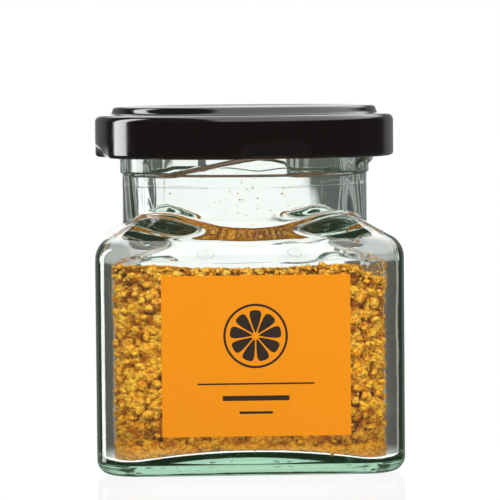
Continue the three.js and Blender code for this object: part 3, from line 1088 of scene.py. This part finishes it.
def loose_peel(grid, normals, material):
    """Grains pressed against the glass and lying on top, then crumbs between them."""
    rng = random.Random(GRAIN_SEED)
    flat = grid.reshape(-1, 3)
    out = normals.reshape(-1, 3)
    where = np.nonzero(flat[:, 2] > GRAIN_LOWEST)[0]
    grains = [where[i] for i in scatter(flat[where].tolist(), GRAIN_SPACING, rng)]
    grain_shapes = [lump_shape(2, rng, 7) for _ in range(14)]
    sizes = [GRAIN_SMALLEST + GRAIN_SIZE_RANGE * rng.random() ** 1.3 for _ in grains]
    places = [
        flat[i] + out[i] * (rng.uniform(*GRAIN_DEPTHS) * size) for i, size in zip(grains, sizes)
    ]
    tones = [rng.random() for _ in grains]
    joined_grains("peel_grains", grain_shapes, places, sizes, tones, material, rng)
    crumbs = [where[i] for i in scatter(flat[where].tolist(), CRUMB_SPACING, rng)]
    crumb_shapes = [lump_shape(1, rng, 4) for _ in range(10)]
    sizes = [rng.uniform(*CRUMB_SIZES) for _ in crumbs]
    places = [
        flat[i] + out[i] * (-0.9 * size - rng.uniform(*CRUMB_DEPTHS))
        for i, size in zip(crumbs, sizes)
    ]
    tones = [rng.random() for _ in crumbs]
    joined_grains("peel_crumbs", crumb_shapes, places, sizes, tones, material, rng)


def peel_dust(material):
    """Specks of peel that cling to the inside of the glass above the heap."""
    rng = random.Random(DUST_SEED)
    shapes = [lump_shape(1, rng, 3) for _ in range(6)]
    places, sizes = [], []
    for turn, spread, height, rise, count, largest in DUST:
        for _ in range(count):
            angle = math.radians(turn - 90 + rng.gauss(0, spread))
            z = height + rng.gauss(0, rise)
            size = DUST_SMALLEST + (largest - DUST_SMALLEST) * rng.random() ** 2.5
            reach = float(room_inside(np.array([angle]), np.array([z]))[0]) - PEEL_GAP - size / 2
            places.append(np.array([reach * math.cos(angle), reach * math.sin(angle), z]))
            sizes.append(size)
    tones = [rng.random() for _ in places]
    joined_grains("peel_dust", shapes, places, sizes, tones, material, rng)


# Studio


def studio_floor():
    """A pale glossy floor, white to the eye and grey to the jar."""
    bm = bmesh.new()
    bmesh.ops.create_grid(bm, x_segments=4, y_segments=4, size=FLOOR_HALF_WIDTH)
    mesh = bpy.data.meshes.new("floor")
    bm.to_mesh(mesh)
    bm.free()
    floor = bpy.data.objects.new("floor", mesh)
    bpy.context.scene.collection.objects.link(floor)
    floor.visible_glossy = False
    floor.visible_transmission = False
    material = new_material("pale_floor")
    tree = material.node_tree
    matt = add_node(tree, "ShaderNodeBsdfDiffuse", {"Color": FLOOR_GREY})
    glow = add_node(tree, "ShaderNodeEmission", {"Color": WHITE, "Strength": 1.0})
    sheen = add_node(
        tree, "ShaderNodeBsdfGlossy", {"Color": WHITE, "Roughness": FLOOR_SHEEN_ROUGHNESS}
    )
    seen = mix_surfaces(tree, FLOOR_SHEEN, glow.outputs[0], sheen.outputs[0])
    camera = add_node(tree, "ShaderNodeLightPath").outputs["Is Camera Ray"]
    surface = mix_surfaces(tree, camera, matt.outputs[0], seen)
    add_node(tree, "ShaderNodeOutputMaterial", {"Surface": surface})
    mesh.materials.append(material)


def studio_world():
    """A white card behind the jar in a dim room, with a tall soft light at the left."""
    world = bpy.data.worlds.new("studio")
    bpy.context.scene.world = world
    world.use_nodes = True
    tree = world.node_tree
    tree.nodes.clear()
    way = add_node(tree, "ShaderNodeTexCoord").outputs["Generated"]
    x, y, up = add_node(tree, "ShaderNodeSeparateXYZ", {0: way}).outputs
    down = maths(tree, "MULTIPLY", up, -1.0)
    turn = maths(tree, "MULTIPLY", maths(tree, "ARCTAN2", x, y), 180 / math.pi)
    back_turn = maths(tree, "MULTIPLY", turn, -1.0)
    off = maths(tree, "DIVIDE", maths(tree, "ABSOLUTE", turn), 180.0)
    ray = add_node(tree, "ShaderNodeLightPath").outputs

    def between(share, first, second):
        return add_node(
            tree, "ShaderNodeMix", {0: share, 2: first, 3: second}, data_type="FLOAT"
        ).outputs[0]

    def room(lights, ends):
        """Brightness by the angle away from straight behind, then towards straight up and down."""
        node = add_node(tree, "ShaderNodeValToRGB", {0: off})
        stops = node.color_ramp.elements
        for place, _ in lights[1:-1]:
            stops.new(place / 180)
        for stop, (place, light) in zip(stops, lights):
            stop.position = place / 180
            stop.color = (light, light, light, 1)
        level = between(ramp_share(tree, up, *OVERHEAD), node.outputs[0], ends[0])
        return between(ramp_share(tree, down, *UNDERFOOT), level, ends[1])

    strip = ramp_share(tree, turn, *STRIP_LEFT)
    for value, fade in ((back_turn, STRIP_RIGHT), (up, STRIP_FOOT), (down, STRIP_HEAD)):
        strip = maths(tree, "MULTIPLY", strip, ramp_share(tree, value, *fade))
    ceiling = ramp_share(tree, up, *CEILING_HEIGHT)
    ceiling = maths(tree, "MULTIPLY", ceiling, ramp_share(tree, x, *CEILING_LEFT))
    mirrored = room(MIRRORED_LIGHT, MIRRORED_ENDS)
    mirrored = maths(tree, "MULTIPLY_ADD", strip, STRIP_LIGHT, mirrored)
    mirrored = maths(tree, "MULTIPLY_ADD", ceiling, CEILING_LIGHT, mirrored)
    through = room(THROUGH_LIGHT, THROUGH_ENDS)
    level = between(ray["Is Transmission Ray"], mirrored, through)
    level = between(maths(tree, "GREATER_THAN", ray["Diffuse Depth"], 0.5), level, SOFT_LIGHT)
    level = between(ray["Is Camera Ray"], level, 1.0)
    world.cycles.sampling_method = "NONE"
    background = add_node(tree, "ShaderNodeBackground", {"Color": WHITE, "Strength": level})
    add_node(tree, "ShaderNodeOutputWorld", {"Surface": background.outputs[0]})


def soft_lamp(name, place, width, power):
    """A square lamp turned to the jar, seen only by the light that it gives."""
    lamp = bpy.data.lights.new(name, "AREA")
    lamp.shape = "RECTANGLE"
    lamp.size = width
    lamp.size_y = width
    lamp.energy = power
    holder = bpy.data.objects.new(name, lamp)
    bpy.context.scene.collection.objects.link(holder)
    holder.location = place
    aim = Vector(LAMP_TARGET) - Vector(place)
    holder.rotation_euler = aim.to_track_quat("-Z", "Y").to_euler()
    holder.visible_glossy = False
    holder.visible_transmission = False
    holder.visible_camera = False


def studio_camera():
    """A long lens, a little above the lid and a little to the left."""
    azimuth, pitch, roll = (math.radians(angle) for angle in CAMERA_ANGLES)
    right = Vector((math.cos(azimuth), math.sin(azimuth), 0))
    level = Vector((-math.sin(azimuth), math.cos(azimuth), 0))
    ahead = level * math.cos(pitch) - Vector((0, 0, math.sin(pitch)))
    up = right.cross(ahead)
    data = bpy.data.cameras.new("camera")
    data.sensor_width = CAMERA_FILM
    data.lens = CAMERA_LENS
    data.clip_start = CAMERA_NEAREST
    camera = bpy.data.objects.new("camera", data)
    bpy.context.scene.collection.objects.link(camera)
    facing = Matrix((right, up, -ahead)).transposed() @ Matrix.Rotation(roll, 3, "Z")
    camera.matrix_world = facing.to_4x4()
    place = right * CAMERA_SIDESTEP - level * CAMERA_DISTANCE
    camera.location = place + Vector((0, 0, CAMERA_HEIGHT))
    bpy.context.scene.camera = camera


studio_camera()
bpy.context.scene.view_settings.view_transform = "Standard"
studio_floor()
studio_world()
for lamp_settings in LAMPS:
    soft_lamp(*lamp_settings)

glass_jar(clear_glass())
twist_lid(black_enamel())
paper_label(orange_paper(), dark_ink())
peel = dried_peel()
heap_grid, heap_normals = peel_core(peel)
loose_peel(heap_grid, heap_normals, peel)
peel_dust(peel)
